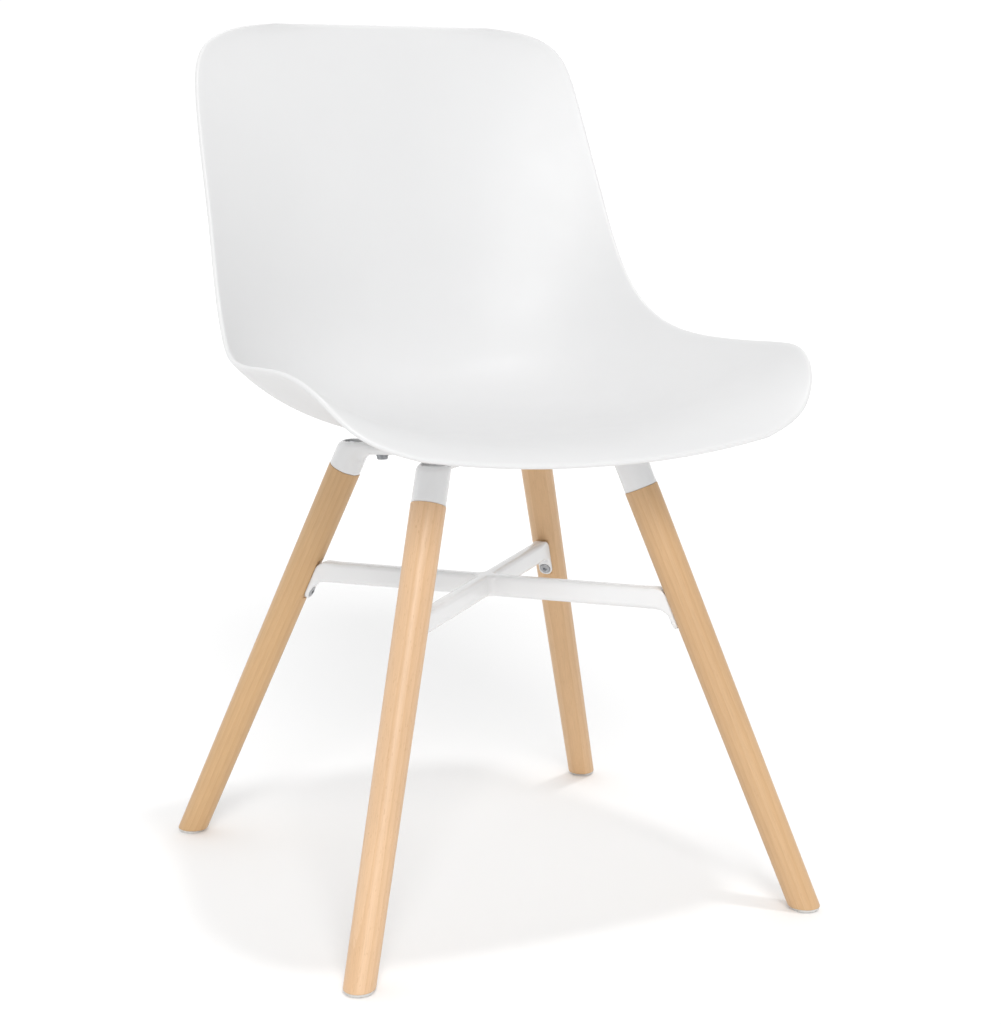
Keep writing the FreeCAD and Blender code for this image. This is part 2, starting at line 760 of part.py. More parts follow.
def fasteners():
    """Every bolt, screw, washer, plate and insert, one node for each kind."""
    leg_top = size("tenonLength")
    plate_top = leg_top + size("plateThickness")
    washer_top = plate_top + size("legWasherThickness")
    under_frame = -size("frameHeight") / 2 - size("seatWasherThickness")
    kinds = {
        "socket_plates": ring("plate", "Sizes.socketBore", "Sizes.plateHole", "Sizes.plateThickness"),
        "leg_bolt_washers": ring(
            "leg_washer", "Sizes.legWasherRadius", "Sizes.plateHole", "Sizes.legWasherThickness"
        ),
        "leg_inserts": ring(
            "leg_insert", "Sizes.legInsertRadius", "Sizes.legBoltRadius", "Sizes.legInsertLength"
        ),
        "leg_bolts": socket_bolt(
            "leg_bolt",
            "Sizes.legBoltHead",
            "Sizes.legBoltHeadHeight",
            "Sizes.legBoltRadius",
            "Sizes.legBoltLength",
            "Sizes.legBoltKey",
        ),
        "shell_bolts": socket_bolt(
            "shell_bolt",
            "Sizes.seatBoltHead",
            "Sizes.seatBoltHeadHeight",
            "Sizes.seatBoltRadius",
            "Sizes.seatBoltLength",
            "Sizes.seatBoltKey",
        ),
        "shell_bolt_washers": ring(
            "shell_washer", "Sizes.seatWasherRadius", "Sizes.seatBoltHole", "Sizes.seatWasherThickness"
        ),
        "shell_inserts": ring(
            "shell_insert", "Sizes.insertRadius", "Sizes.seatBoltRadius", "Sizes.insertLength"
        ),
        "stretcher_screws": socket_bolt(
            "stretcher_screw",
            "Sizes.screwHead",
            "Sizes.screwHeadHeight",
            "Sizes.screwRadius",
            "Sizes.screwLength",
            "Sizes.screwKey",
        ),
        "stretcher_inserts": ring(
            "stretcher_insert", "Sizes.screwInsertRadius", "Sizes.screwRadius", "Sizes.screwInsertLength"
        ),
        "glide_nails": nail(),
    }
    doc.recompute()
    upside_down = FreeCAD.Rotation(X, 180)
    quarter_turn = FreeCAD.Rotation(Y, -90)

    def places(corner):
        """Where each kind of fastener goes at one corner."""
        low, _, seat = tab_reach(corner)
        screw_along = low + size("tabScrew")
        face = corner.leaning(screw_along)

        def on_seat(depth):
            """Square to the leg's flat seat, Z pointing at the middle of the chair."""
            shift = FreeCAD.Placement(-X * (seat + depth), quarter_turn)
            return face.multiply(shift)

        washer = on_frame(corner, corner.bolt_reach, under_frame)
        sunk = size("tabThickness") - size("tabSinkDepth")
        return {
            "socket_plates": corner.leaning(corner.length + leg_top),
            "leg_bolt_washers": corner.leaning(corner.length + plate_top),
            "leg_inserts": corner.leaning(corner.length + leg_top - size("legInsertLength")),
            "leg_bolts": corner.leaning(corner.length + washer_top),
            "shell_bolts": washer.multiply(FreeCAD.Placement(FreeCAD.Vector(), upside_down)),
            "shell_bolt_washers": washer,
            "shell_inserts": on_frame(corner, corner.bolt_reach, size("frameHeight") / 2),
            "stretcher_screws": on_seat(sunk),
            "stretcher_inserts": on_seat(-size("screwInsertLength")),
            "glide_nails": corner.upright(corner.spread),
        }

    for kind, source in kinds.items():
        copies = [placed_copy(source, f"{kind}_{c.name}", places(c)[kind]) for c in CORNERS]
        group(kind, copies)


seat_shell()
frame()
stretcher()
for place in CORNERS:
    leg_socket(place)
    leg(place)
    glide(place)
fasteners()
doc.recompute()

for item in doc.Objects:
    if "Invalid" in item.State or "Error" in item.State:
        raise RuntimeError(f"{item.Label} failed: {item.State}")
os.makedirs("parts", exist_ok=True)
for name, piece in pieces.items():
    if piece.Shape.isNull() or not piece.Shape.isValid():
        raise RuntimeError(f"{name} has no valid shape")
    piece.Shape.exportStep(f"parts/{name}.step")
    print(f"{name}: {len(piece.Shape.Solids)} solid(s), {piece.Shape.Volume / 1000:.1f} cm3")
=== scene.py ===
import math

import bpy
import numpy as np
from mathutils import Matrix, Vector
from mathutils.bvhtree import BVHTree


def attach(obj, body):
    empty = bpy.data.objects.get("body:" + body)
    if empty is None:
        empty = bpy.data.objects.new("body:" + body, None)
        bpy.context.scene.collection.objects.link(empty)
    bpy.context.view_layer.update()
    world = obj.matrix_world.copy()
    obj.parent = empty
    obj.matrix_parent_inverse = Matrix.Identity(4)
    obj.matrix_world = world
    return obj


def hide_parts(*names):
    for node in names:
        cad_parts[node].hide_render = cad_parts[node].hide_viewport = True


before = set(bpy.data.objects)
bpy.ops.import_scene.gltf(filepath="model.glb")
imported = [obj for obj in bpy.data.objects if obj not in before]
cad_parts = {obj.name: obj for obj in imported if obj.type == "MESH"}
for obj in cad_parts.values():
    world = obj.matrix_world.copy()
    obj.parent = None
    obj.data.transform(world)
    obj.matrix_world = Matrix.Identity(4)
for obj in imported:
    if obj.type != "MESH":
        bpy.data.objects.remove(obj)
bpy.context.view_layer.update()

# Dining chair: a moulded bucket shell on a welded white frame, four beech legs and a white
# cross stretcher. Sizes here are millimetres in the frame's axes, and meshes are made in metres.

MM = 0.001

# Where the middle of the four legs stands, behind the middle of the whole chair.
LEG_MIDDLE = np.array([0.0, -10.3, 0.0])
# Lean from upright in degrees, distance of the foot from the middle, length from floor to
# socket and height of the socket's top, for the front and the back legs.
LEG_SETS = {
    "front": {"lean": 23.0, "spread": 322.5, "length": 429.6, "socket_top": 431.0},
    "back": {"lean": 24.4, "spread": 328.3, "length": 435.2, "socket_top": 425.5},
}
# Each leg's set of sizes, and the signs of its x and y.
CORNERS = {
    "front_right": ("front", -1, -1),
    "front_left": ("front", 1, -1),
    "back_right": ("back", -1, 1),
    "back_left": ("back", 1, 1),
}
FOOT_RADIUS = 14.2
TOP_RADIUS = 16.2
TENON_RADIUS = 13.4
TENON_LENGTH = 17.0
GLIDE_RADIUS = 12.5
GLIDE_THICKNESS = 3.0
NAIL_SINK_RADIUS = 2.4
NAIL_RADIUS = 1.4

SOCKET_RADIUS = 15.8
SOCKET_BORE = 13.6
SOCKET_MOUTH = 11.5
PLATE_TOP = 20.0
SHOULDER_ROUND = 6.0
SOCKET_EDGE = 0.9
MOUTH_EDGE = 0.6
TUBE_MIDDLE = 422.0
TUBE_HALF_HEIGHT = 5.0
TUBE_HALF_WIDTH = 10.0
TUBE_ROUND = 4.5
WELD_FILLET = 5.0
# The fillet in plan where the arms of either cross meet.
CROSS_FILLET = 6.0
# The cross frame rises a little towards the front.
TUBE_TILT = math.radians(3.4)

BAR_MIDDLE = 290.5
BAR_HALF_HEIGHT = 10.5
BAR_HALF_WIDTH = 7.0
BAR_ROUND = 5.0
TAB_THICKNESS = 5.0
TAB_SEAT = 1.6
TAB_LOW = 263.0
TAB_ROUND = 6.5
TAB_EDGE = 1.8
# The rounds inside and outside the bend from a bar into its tab.
TAB_BEND = 8.0
SINK_RADIUS = 5.6
SINK_DEPTH = 2.5
SINK_EDGE = 0.6
SCREW_UP = 8.0

BOLT_REACH = {"front": 114.0, "back": 108.5}
BOSS_RADIUS = 8.5
BOSS_BORE = 4.2
BOSS_BORE_DEPTH = 9.0
BOSS_FILLET = 5.0
BOSS_EDGE = 0.7

# Sections of the shell's outer face, from the top edge of the back to the front edge of the
# seat: the rim's x, y and z, the centre line's y and z, and how flat the middle is.
SHELL_SECTIONS = (
    (118, 255, 830, 266, 831, 2.2),
    (154, 253, 828, 265, 825, 2.2),
    (188, 249, 818, 263, 811, 2.2),
    (207, 242, 797, 260, 790, 2.2),
    (213, 228, 762, 254, 752, 2.2),
    (217, 203, 708, 243, 694, 2.2),
    (220, 174, 650, 230, 632, 2.3),
    (224, 151, 602, 217, 572, 2.5),
    (229, 125, 562, 198, 516, 2.7),
    (237, 86, 533, 163, 468, 2.9),
    (248, 38, 520, 107, 446, 3.1),
    (261, -22, 519, 45, 440, 3.3),
    (267, -70, 521, -10, 439, 3.3),
    (267, -115, 524, -70, 443, 3.3),
    (259, -152, 524, -125, 447, 3.1),
    (247, -186, 511, -172, 450, 2.9),
    (231, -208, 484, -208, 450, 2.7),
    (206, -223, 465, -231, 447, 2.4),
    (168, -232, 455, -243, 442, 2.2),
)
UPRIGHT_SECTION = 4
POLES_ACROSS = 11
SHELL_THICKNESS = 5.0

# What brings each leg near its tone in the photograph, where wood and light both differ.
# These factors are partly each leg's own wood tone and partly painted shade, which darkens the
# front left and back right legs most.
LEG_WOOD_AND_SHADE_TINTS = {
    "front_right": (0.98, 0.99, 1.03),
    "front_left": (0.84, 0.82, 0.76),
    "back_right": (0.82, 0.80, 0.71),
    "back_left": (0.90, 0.89, 0.85),
}

# Brightness of the studio's surroundings, in front of the chair and behind it.
ROOM_LEVEL = 0.62
BACKDROP_LEVEL = 1.05
# The floor's own glow near the chair and far from it, and the metres over which it rises.
FLOOR_GLOW = (0.02, 0.12)
FLOOR_GLOW_REACH = (1.1, 3.2)
# Half the floor's width, and how far it lies below the glides, in metres.
FLOOR_REACH = 14.0
FLOOR_DROP = 0.0002
# Each sun's energy, angle in degrees, and the places in metres it shines from and to.
SUNS = {
    "key": (1.38, 25, (-1.1, -3.4, 2.9), (0, 0, 0.5)),
    "overhead": (0.55, 5, (0.2, -0.25, 2.4), (0, 0, 0)),
}
# The camera solved from the photograph: millimetres, degrees and metres.
LENS = 72.82
SENSOR_WIDTH = 36
SHIFT = (0.0138, 0.0011)
CAMERA_PLACE = (-0.8457, -1.7916, 0.7320)
CAMERA_AZIMUTH = -25.40
CAMERA_ELEVATION = 10.66
CAMERA_ROLL = 0.14


# ---------------------------------------------------------------- meshes


def piece(name, points, faces, material, matrix=None, sharp_angle=None):
    """A mesh object from points in millimetres that rides with the chair."""
    mesh = bpy.data.meshes.new(name)
    mesh.from_pydata((np.asarray(points) * MM).tolist(), [], [list(face) for face in faces])
    mesh.validate()
    mesh.materials.append(material)
    mesh.polygons.foreach_set("use_smooth", [True] * len(mesh.polygons))
    if sharp_angle:
        mesh.set_sharp_from_angle(angle=math.radians(sharp_angle))
    made = bpy.data.objects.new(name, mesh)
    bpy.context.scene.collection.objects.link(made)
    if matrix is not None:
        made.matrix_world = matrix
    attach(made, "root")
    return made


def point_value(made, name, values):
    """Store one number for each vertex, which the materials read by name."""
    store = made.data.attributes.new(name, "FLOAT", "POINT")
    store.data.foreach_set("value", np.asarray(values, np.float32))


def lathe(profile, columns=64):
    """Points and faces of a profile of (radius, height) turned about Z, closed at both ends."""
    profile = [(float(radius), float(height)) for radius, height in profile]
    angles = np.arange(columns) * 2 * math.pi / columns
    points = []
    for radius, height in profile:
        ring = np.stack([radius * np.cos(angles), radius * np.sin(angles), 0 * angles + height], 1)
        points.extend(ring.tolist())
    faces = ring_faces(len(profile), columns)
    return points, faces


def ring_faces(rings, columns, first=0):
    """Quads between rings of points that follow each other, each ring closed on itself."""
    faces = []
    for ring in range(rings - 1):
        base = first + ring * columns
        for column in range(columns):
            beside = (column + 1) % columns
            faces.append(
                (base + column, base + beside, base + columns + beside, base + columns + column)
            )
    return faces


# ---------------------------------------------------------------- distance functions


def round_union(a, b, radius):
    """Two distances joined, with a concave fillet between the surfaces."""
    inside = np.hypot(np.maximum(radius - a, 0), np.maximum(radius - b, 0))
    return np.maximum(radius, np.minimum(a, b)) - inside


def round_overlap(a, b, radius):
    """What two distances share, with a convex round along the edge."""
    outside = np.hypot(np.maximum(radius + a, 0), np.maximum(radius + b, 0))
    return np.minimum(-radius, np.maximum(a, b)) + outside


def fold(points):
    """How far along and across its nearest diagonal arm each point is, and if that is a front one.

    The first axis points at the front left leg and the second at the back left leg."""
    along_first = np.abs(points[:, 0]) > np.abs(points[:, 1])
    radial = np.where(along_first, np.abs(points[:, 0]), np.abs(points[:, 1]))
    across = np.where(along_first, points[:, 1], points[:, 0])
    front = np.where(along_first, points[:, 0] > 0, points[:, 1] < 0)
    return radial, across, front


def by_end(front, key):
    """A leg set's number for each point."""
    return np.where(front, LEG_SETS["front"][key], LEG_SETS["back"][key])


def leg_axes(radial, height, front):
    """Distance out from a leg's axis, in its leaning plane, and distance up along it."""
    lean = np.radians(by_end(front, "lean"))
    out = radial - by_end(front, "spread")
    outward = out * np.cos(lean) + height * np.sin(lean)
    up = height * np.cos(lean) - out * np.sin(lean)
    return outward, up


def frame_distance(points):
    """The welded cross frame under the seat with its four leg sockets."""
    radial, across, front = fold(points)
    height = points[:, 2]
    outward, up = leg_axes(radial, height, front)
    joint = by_end(front, "length")
    back = (points[:, 1] - points[:, 0]) * math.sqrt(0.5)
    above = (height - TUBE_MIDDLE) * math.cos(TUBE_TILT) + back * math.sin(TUBE_TILT)
    beside = np.abs(across) - TUBE_HALF_WIDTH
    plan = round_union(beside, radial - TUBE_HALF_WIDTH, CROSS_FILLET)
    tubes = round_overlap(np.abs(above) - TUBE_HALF_HEIGHT, plan, TUBE_ROUND)
    tubes = np.maximum(tubes, outward)
    wall = np.hypot(outward, across) - SOCKET_RADIUS
    socket = round_overlap(wall, height - by_end(front, "socket_top"), SHOULDER_ROUND)
    socket = round_overlap(socket, joint - up, SOCKET_EDGE)
    whole = round_union(tubes, socket, WELD_FILLET)
    bore = np.where(up < joint + PLATE_TOP, SOCKET_BORE, SOCKET_MOUTH)
    mouth = np.hypot(outward, across) - bore
    return round_overlap(whole, -mouth, MOUTH_EDGE)


def tab_plane(front):
    """How far inside a leg's axis the stretcher's tab rests on the leg."""
    lean = np.radians(by_end(front, "lean"))
    up = BAR_MIDDLE / np.cos(lean)
    taper = (TOP_RADIUS - FOOT_RADIUS) / by_end(front, "length")
    return FOOT_RADIUS + taper * up - TAB_SEAT


def tab_low_end(front):
    """How far up the leg's axis the lower end of the tab is."""
    lean = np.radians(by_end(front, "lean"))
    return (TAB_LOW + tab_plane(front) * np.sin(lean)) / np.cos(lean)


def stretcher_distance(points):
    """The welded cross stretcher, whose ends bend down into tabs along the legs."""
    radial, across, front = fold(points)
    height = points[:, 2]
    outward, up = leg_axes(radial, height, front)
    seat = tab_plane(front)
    low = tab_low_end(front)
    bar = np.abs(height - BAR_MIDDLE) - BAR_HALF_HEIGHT
    behind = outward + seat
    tab = np.maximum(-behind - TAB_THICKNESS, low - up)
    bent = round_union(bar, tab, TAB_BEND)
    over = round_overlap(height - BAR_MIDDLE - BAR_HALF_HEIGHT, behind, TAB_BEND)
    side = np.maximum(bent, over)
    beside = np.abs(across) - BAR_HALF_WIDTH
    cross = round_union(beside, radial - BAR_HALF_WIDTH, CROSS_FILLET)
    narrow = np.maximum(np.abs(across) - BAR_HALF_WIDTH + TAB_ROUND, 0)
    end = np.hypot(narrow, np.maximum(low + TAB_ROUND - up, 0)) - TAB_ROUND
    plan = np.where(radial < 5 * BAR_HALF_WIDTH, cross, end)
    # The round along the edges grows from the tab's to the bar's own.
    soft = np.clip((-behind - TAB_THICKNESS - 1) / 12, 0, 1)
    whole = round_overlap(side, plan, TAB_EDGE + (BAR_ROUND - TAB_EDGE) * soft)
    hole = np.hypot(across, up - low - SCREW_UP) - SINK_RADIUS
    sink = np.maximum(hole, behind + TAB_THICKNESS - SINK_DEPTH)
    return round_overlap(whole, -sink, SINK_EDGE)


def distances_near(distance, low, high, cell, span=8):
    """Distances on a grid of points, worked out one by one only near the surface."""
    blocks = np.ceil((high - low) / (cell * span)).astype(int)
    corner = np.indices(blocks).reshape(3, -1).T
    rough = distance(low + (corner + 0.5) * cell * span)
    field = rough.reshape(blocks)
    for axis in range(3):
        field = field.repeat(span, axis)
    near = corner[np.abs(rough) < cell * span * 1.2]
    inner = np.indices((span,) * 3).reshape(3, -1).T
    for start in range(0, len(near), 1000):
        index = (near[start : start + 1000, None, :] * span + inner).reshape(-1, 3)
        field[tuple(index.T)] = distance(low + index * cell)
    return field


def skin(distance, low, high, cell):
    """Points and quads where a distance is zero: one point for each grid cell it crosses."""
    low = np.array(low, float)
    field = distances_near(distance, low, np.array(high, float), cell)
    inside = field < 0
    size = np.array(field.shape) - 1
    corners = np.indices((2, 2, 2)).reshape(3, -1).T
    count = np.zeros(size, np.int8)
    for i, j, k in corners:
        count += inside[i : i + size[0], j : j + size[1], k : k + size[2]]
    cells = np.argwhere((count > 0) & (count < 8))
    number = np.full(size, -1, np.int32)
    number[tuple(cells.T)] = np.arange(len(cells))
    value = np.stack([field[tuple((cells + corner).T)] for corner in corners], 1)
    total = np.zeros((len(cells), 3))
    crossings = np.zeros(len(cells))
    for a in range(8):
        for b in range(a + 1, 8):
            if np.abs(corners[a] - corners[b]).sum() != 1:
                continue
            crossed = (value[:, a] < 0) != (value[:, b] < 0)
            gap = np.where(crossed, value[:, a] - value[:, b], 1)
            share = (value[:, a] / gap)[:, None]
            spot = corners[a] + share * (corners[b] - corners[a])
            total += np.where(crossed[:, None], spot, 0)
            crossings += crossed
    points = low + (cells + total / crossings[:, None]) * cell
    step = 0.05 * cell
    for _ in range(3):
        slope = np.stack(
            [
                (distance(points + step * axis) - distance(points - step * axis)) / (2 * step)
                for axis in np.eye(3)
            ],
            1,
        )
        steepness = np.maximum((slope**2).sum(1), 0.2)
        move = (distance(points) / steepness)[:, None] * slope
        points -= np.clip(move, -0.5 * cell, 0.5 * cell)
    faces = []
    for axis in range(3):
        beside = [(axis + 1) % 3, (axis + 2) % 3]
        low_end = [slice(1, -1)] * 3
        high_end = [slice(1, -1)] * 3
        low_end[axis] = slice(0, -1)
        high_end[axis] = slice(1, None)
        start = inside[tuple(low_end)]
        end = inside[tuple(high_end)]
        edge = np.argwhere(start != end)
        edge[:, beside[0]] += 1
        edge[:, beside[1]] += 1
        around = []
        for back_a, back_b in ((1, 1), (0, 1), (0, 0), (1, 0)):
            at = edge.copy()
            at[:, beside[0]] -= back_a
            at[:, beside[1]] -= back_b
            around.append(number[tuple(at.T)])
        quads = np.stack(around, 1)
        outwards = inside[tuple(edge.T)]
        quads[~outwards] = quads[~outwards][:, ::-1]
        faces.append(quads)
    return points, np.concatenate(faces).tolist()


def from_diagonals(points):
    """Points on the legs' two diagonals and Z, turned into the chair's own axes."""
    half = math.sqrt(0.5)
    turn = np.array([[half, -half, 0], [half, half, 0], [0, 0, 1]])
    return points @ turn + LEG_MIDDLE


# ---------------------------------------------------------------- materials


def material(name, **constants):
    """A node material, with the numbers that are the same all over set on the shader itself."""
    made = bpy.data.materials.new(name)
    made.use_nodes = True
    shader = made.node_tree.nodes["Principled BSDF"]
    for socket, number in constants.items():
        shader.inputs[socket.replace("_", " ")].default_value = number
    return made


def node(made, kind, settings=None, **inputs):
    """Add a node. A (node, output) pair given for an input is linked, and a constant is set.

    An input is named by its own name, or by an i and its number where names repeat."""
    added = made.node_tree.nodes.new(kind)
    for name, setting in (settings or {}).items():
        setattr(added, name, setting)
    for name, given in inputs.items():
        numbered = name[0] == "i" and name[1:].isdigit()
        socket = added.inputs[int(name[1:]) if numbered else name]
        if isinstance(given, tuple) and isinstance(given[0], bpy.types.Node):
            made.node_tree.links.new(given[0].outputs[given[1]], socket)
        else:
            socket.default_value = given
    return added


def feed(made, socket, source, output):
    """Link a node's output to the shader."""
    shader = made.node_tree.nodes["Principled BSDF"]
    made.node_tree.links.new(source.outputs[output], shader.inputs[socket])


def placed(made, stretch=(1, 1, 1), shift=(0, 0, 0)):
    """The object's own coordinates in metres, stretched and shifted."""
    where = node(made, "ShaderNodeTexCoord")
    return node(made, "ShaderNodeMapping", Vector=(where, "Object"), Scale=stretch, Location=shift)


def noise(made, where, scale, detail=2.0, rough=0.5, distortion=0.0):
    return node(
        made,
        "ShaderNodeTexNoise",
        Vector=(where, "Vector"),
        Scale=scale,
        Detail=detail,
        Roughness=rough,
        Distortion=distortion,
    )


def ramp(made, source, output, stops):
    """A colour ramp of (position, colour) stops, where a colour may be one grey number."""
    made_ramp = node(made, "ShaderNodeValToRGB", Fac=(source, output))
    elements = made_ramp.color_ramp.elements
    while len(elements) < len(stops):
        elements.new(0.5)
    for element, (position, colour) in zip(elements, stops):
        element.position = position
        shades = (colour,) * 3 if isinstance(colour, (int, float)) else colour
        element.color = (*shades, 1)
    return made_ramp


def mix(made, kind, factor, a, b):
    """Mix two colours: a factor or colour is a constant or a (node, output) pair."""
    return node(
        made,
        "ShaderNodeMix",
        {"data_type": "RGBA", "blend_type": kind},
        i0=factor,
        i6=a,
        i7=b,
    )


def arithmetic(made, kind, a, b):
    return node(made, "ShaderNodeMath", {"operation": kind}, i0=a, i1=b)


def vector(made, kind, **inputs):
    return node(made, "ShaderNodeVectorMath", {"operation": kind}, **inputs)


def bump(made, source, output, strength, distance, under=None):
    settings = {"Strength": strength, "Distance": distance, "Height": (source, output)}
    if under:
        settings["Normal"] = (under, "Normal")
    return node(made, "ShaderNodeBump", **settings)


def moulded_white():
    """Satin moulded polypropylene: a very fine spark texture, faint flow tones, a glossier rim, and
    a painted highlight that lightens the colour along the rim.
    """
    made = material("moulded_white", Specular_IOR_Level=0.5, IOR=1.49)
    where = placed(made)
    tone = noise(made, where, 5.0, 3.0, 0.5, 0.4)
    stops = [(0.3, (0.690, 0.691, 0.694)), (0.7, (0.706, 0.707, 0.709))]
    tones = ramp(made, tone, "Fac", stops)
    edge = node(made, "ShaderNodeAttribute", {"attribute_name": "rim"})
    # Painted highlight: the base colour is lighter along the rim.
    rim = mix(made, "MIX", (edge, "Fac"), (tones, "Color"), (0.730, 0.730, 0.731, 1))
    feed(made, "Base Color", rim, 2)
    patches = noise(made, where, 30.0, 4.0, 0.6)
    dull = ramp(made, patches, "Fac", [(0.3, 0.42), (0.7, 0.49)])
    sheen = mix(made, "MIX", (edge, "Fac"), (dull, "Color"), (0.30, 0.30, 0.30, 1))
    feed(made, "Roughness", sheen, 2)
    grain = noise(made, where, 1400.0, 2.0, 0.6)
    flow = noise(made, where, 22.0, 2.0, 0.5)
    waves = bump(made, flow, "Fac", 0.12, 0.002)
    fine = bump(made, grain, "Fac", 0.10, 0.0003, waves)
    feed(made, "Normal", fine, "Normal")
    return made


def powder_coat():
    """Semi-gloss white powder coat on steel, with a slight orange peel."""
    made = material(
        "powder_coat", Specular_IOR_Level=0.5, IOR=1.5, Coat_Weight=0.15, Coat_Roughness=0.12
    )
    where = placed(made)
    tone = noise(made, where, 14.0, 3.0)
    stops = [(0.3, (0.775, 0.780, 0.786)), (0.7, (0.790, 0.794, 0.799))]
    tones = ramp(made, tone, "Fac", stops)
    feed(made, "Base Color", tones, "Color")
    patches = noise(made, where, 40.0, 2.0, 0.5)
    dull = ramp(made, patches, "Fac", [(0.3, 0.20), (0.7, 0.25)])
    feed(made, "Roughness", dull, "Color")
    peel = noise(made, where, 420.0, 1.0, 0.5)
    grit = noise(made, where, 2400.0, 1.0, 0.5)
    soft = bump(made, peel, "Fac", 0.04, 0.0001)
    fine = bump(made, grit, "Fac", 0.02, 0.00003, soft)
    feed(made, "Normal", fine, "Normal")
    return made


def beech(name, shift, wood_and_shade_tint):
    """Lacquered beech: growth bands along the leg, fine fibres, and short dark rays."""
    made = material(name, Specular_IOR_Level=0.5, IOR=1.5, Coat_Weight=0.12, Coat_Roughness=0.25)
    slow = placed(made, (1, 1, 0.10), shift)
    # Growth rings about a pith that lies outside the leg, bent by slow noise.
    bend = noise(made, slow, 16.0, 2.0, 0.5)
    bent = vector(made, "SCALE", i0=(bend, "Color"), Scale=0.016)
    moved = vector(made, "ADD", i0=(slow, "Vector"), i1=(bent, "Vector"))
    rings = node(
        made,
        "ShaderNodeTexWave",
        {"wave_type": "RINGS", "rings_direction": "Z", "wave_profile": "SAW"},
        Vector=(moved, "Vector"),
        Scale=55.0,
        Distortion=1.2,
        Detail=2.0,
    )
    bands = ramp(
        made,
        rings,
        "Fac",
        [
            (0.0, (0.745, 0.490, 0.283)),
            (0.55, (0.732, 0.476, 0.270)),
            (0.95, (0.702, 0.446, 0.244)),
        ],
    )
    cloud = noise(made, slow, 30.0, 3.0, 0.55)
    clouds = ramp(made, cloud, "Fac", [(0.3, (0.97, 0.96, 0.94)), (0.7, (1.02, 1.03, 1.04))])
    toned = mix(made, "MULTIPLY", 1.0, (bands, "Color"), (clouds, "Color"))
    fibre_place = placed(made, (1, 1, 0.035), shift)
    fibre = noise(made, fibre_place, 1500.0, 3.0, 0.65)
    fibres = ramp(made, fibre, "Fac", [(0.3, 0.90), (0.6, 1.02)])
    fibred = mix(made, "MULTIPLY", 0.8, (toned, 2), (fibres, "Color"))
    # The tint is partly the leg's own wood tone and partly painted shade.
    tinted = mix(made, "MULTIPLY", 1.0, (fibred, 2), (*wood_and_shade_tint, 1))
    ray_place = placed(made, (1, 1, 0.22), shift)
    ray = noise(made, ray_place, 900.0, 1.0, 0.4)
    rays = ramp(made, ray, "Fac", [(0.66, 0.0), (0.72, 1.0)])
    part = arithmetic(made, "MULTIPLY", (rays, "Color"), 0.45)
    rayed = mix(made, "MIX", (part, "Value"), (tinted, 2), (0.56, 0.33, 0.17, 1))
    feed(made, "Base Color", rayed, 2)
    dull = ramp(made, fibre, "Fac", [(0.3, 0.50), (0.7, 0.38)])
    feed(made, "Roughness", dull, "Color")
    pores = bump(made, fibre, "Fac", 0.18, 0.0003)
    sunk = bump(made, ray, "Fac", 0.05, 0.0002, pores)
    feed(made, "Normal", sunk, "Normal")
    return made


def plated(name, colour, dark):
    """Plated or machined metal: fine turning marks and faint stains."""
    made = material(name, Metallic=1.0)
    where = placed(made)
    stain = noise(made, where, 260.0, 4.0, 0.6)
    stains = ramp(made, stain, "Fac", [(0.3, dark), (0.65, colour)])
    feed(made, "Base Color", stains, "Color")
    marks = noise(made, where, 1800.0, 2.0, 0.6)
    dull = ramp(made, marks, "Fac", [(0.3, 0.24), (0.7, 0.40)])
    feed(made, "Roughness", dull, "Color")
    fine = bump(made, marks, "Fac", 0.10, 0.0001)
    feed(made, "Normal", fine, "Normal")
    return made


def pale_nylon():
    """The translucent plastic of the glides, scuffed underneath."""
    made = material("pale_nylon", Specular_IOR_Level=0.5, IOR=1.52, Transmission_Weight=0.25)
    where = placed(made)
    tone = noise(made, where, 120.0, 3.0)
    tones = ramp(made, tone, "Fac", [(0.3, (0.80, 0.79, 0.76)), (0.7, (0.88, 0.88, 0.86))])
    feed(made, "Base Color", tones, "Color")
    scuff = noise(made, where, 900.0, 4.0, 0.7)
    dull = ramp(made, scuff, "Fac", [(0.3, 0.30), (0.7, 0.55)])
    feed(made, "Roughness", dull, "Color")
    fine = bump(made, scuff, "Fac", 0.15, 0.0002)
    feed(made, "Normal", fine, "Normal")
    return made


def studio_floor():
    """Pale matt studio paper that glows a little away from the chair, so no horizon shows."""
    made = material("studio_paper", Specular_IOR_Level=0.2)
    made.node_tree.nodes["Principled BSDF"].inputs["Emission Color"].default_value = (1, 1, 1, 1)
    where = placed(made)
    away = vector(made, "LENGTH", i0=(where, "Vector"))
    near, far = FLOOR_GLOW_REACH
    low, high = FLOOR_GLOW
    glow = node(made, "ShaderNodeMapRange", i0=(away, "Value"), i1=near, i2=far, i3=low, i4=high)
    feed(made, "Emission Strength", glow, "Result")
    tone = noise(made, where, 1.5, 2.0)
    tones = ramp(made, tone, "Fac", [(0.3, 0.915), (0.7, 0.925)])
    feed(made, "Base Color", tones, "Color")
    tooth = noise(made, where, 700.0, 2.0)
    dull = ramp(made, tooth, "Fac", [(0.3, 0.78), (0.7, 0.88)])
    feed(made, "Roughness", dull, "Color")
    return made


# ---------------------------------------------------------------- the shell


def knots(count):
    """The knots of a clamped cubic with that many poles."""
    return np.concatenate([np.zeros(3), np.linspace(0, 1, count - 2), np.ones(3)])


def stations(count):
    """Where along a cubic surface each pole pulls hardest, from 0 to 1."""
    ends = knots(count)
    return np.array([ends[i + 1 : i + 4].mean() for i in range(count)])


